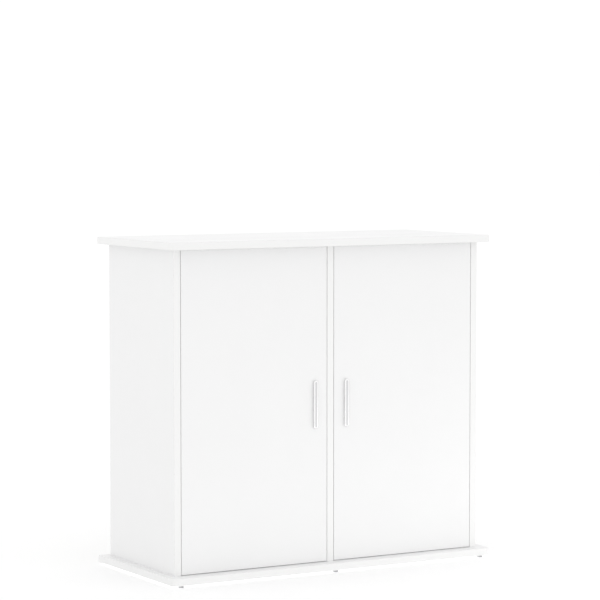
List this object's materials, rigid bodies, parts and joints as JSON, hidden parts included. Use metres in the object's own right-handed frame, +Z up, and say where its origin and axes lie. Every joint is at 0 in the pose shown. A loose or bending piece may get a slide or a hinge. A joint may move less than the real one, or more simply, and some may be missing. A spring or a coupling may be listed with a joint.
{
  "type": "aquarium stand cabinet",
  "caption": "White aquarium stand with overhanging top and base panels, inset swing doors with slim bar handles, a centre divider, shelves and small glide feet.",
  "frame": {"origin": "on the floor under the middle of the stand", "axes": "+X to the right seen from the front, +Y to the rear, +Z up"},
  "size_m": [0.812, 0.361, 0.732],
  "materials": {
    "white_board": "white melamine-faced chipboard, fine satin texture",
    "white_door": "white melamine-faced chipboard, smooth satin",
    "white_edge_band": "white ABS edge band, satin",
    "white_hardboard": "white lacquered hardboard",
    "satin_metal_handle": "satin anodised",
    "zinc_plated_steel": "bright zinc plating",
    "zinc_casting": "die-cast zinc alloy, tumbled",
    "polished_steel": "nickel-plated steel",
    "nylon_bush": "natural nylon",
    "dowel_wood": "raw beech",
    "grey_glide_plastic": "grey moulded plastic",
    "white_catch_plastic": "white moulded plastic",
    "ferrite_magnet": "sintered ferrite"
  },
  "bodies": {
    "carcass": {"back_panel_nails": "zinc_plated_steel", "base_panel": "white_board", "base_panel_edge_band": "white_edge_band", "cam_bolts": "zinc_plated_steel", "cam_discs": "zinc_casting", "catch_housings": "white_catch_plastic", "catch_magnets": "ferrite_magnet", "catch_pole_plates": "zinc_plated_steel", "catch_screws": "zinc_plated_steel", "centre_divider": "white_board", "centre_divider_edge_band": "white_edge_band", "glide_feet": "grey_glide_plastic", "glide_foot_nails": "zinc_plated_steel", "left_back_panel": "white_hardboard", "left_shelf": "white_board", "left_shelf_edge_band": "white_edge_band", "left_side_panel": "white_board", "left_side_panel_edge_band": "white_edge_band", "pivot_pins": "polished_steel", "right_back_panel": "white_hardboard", "right_shelf": "white_board", "right_shelf_edge_band": "white_edge_band", "right_side_panel": "white_board", "right_side_panel_edge_band": "white_edge_band", "shelf_pins": "polished_steel", "top_panel": "white_board", "top_panel_edge_band": "white_edge_band", "wooden_dowels": "dowel_wood"},
    "left_door_leaf": {"left_door": "white_door", "left_door_edge_band": "white_edge_band", "left_handle": "satin_metal_handle", "left_handle_screws": "zinc_plated_steel", "left_door_pivot_bushes": "nylon_bush", "left_door_strike_plate": "zinc_plated_steel", "left_strike_plate_screws": "zinc_plated_steel"},
    "right_door_leaf": {"right_door": "white_door", "right_door_edge_band": "white_edge_band", "right_handle": "satin_metal_handle", "right_handle_screws": "zinc_plated_steel", "right_door_pivot_bushes": "nylon_bush", "right_door_strike_plate": "zinc_plated_steel", "right_strike_plate_screws": "zinc_plated_steel"}
  },
  "joints": [
    {"name": "left_door_swing", "type": "hinge", "parent": "carcass", "child": "left_door_leaf", "pos_m": [-0.352, -0.1435, 0.3675], "axis": [0, 0, -1], "range_deg": [0, 110]},
    {"name": "right_door_swing", "type": "hinge", "parent": "carcass", "child": "right_door_leaf", "pos_m": [0.352, -0.1435, 0.3675], "axis": [0, 0, 1], "range_deg": [0, 110]}
  ]
}
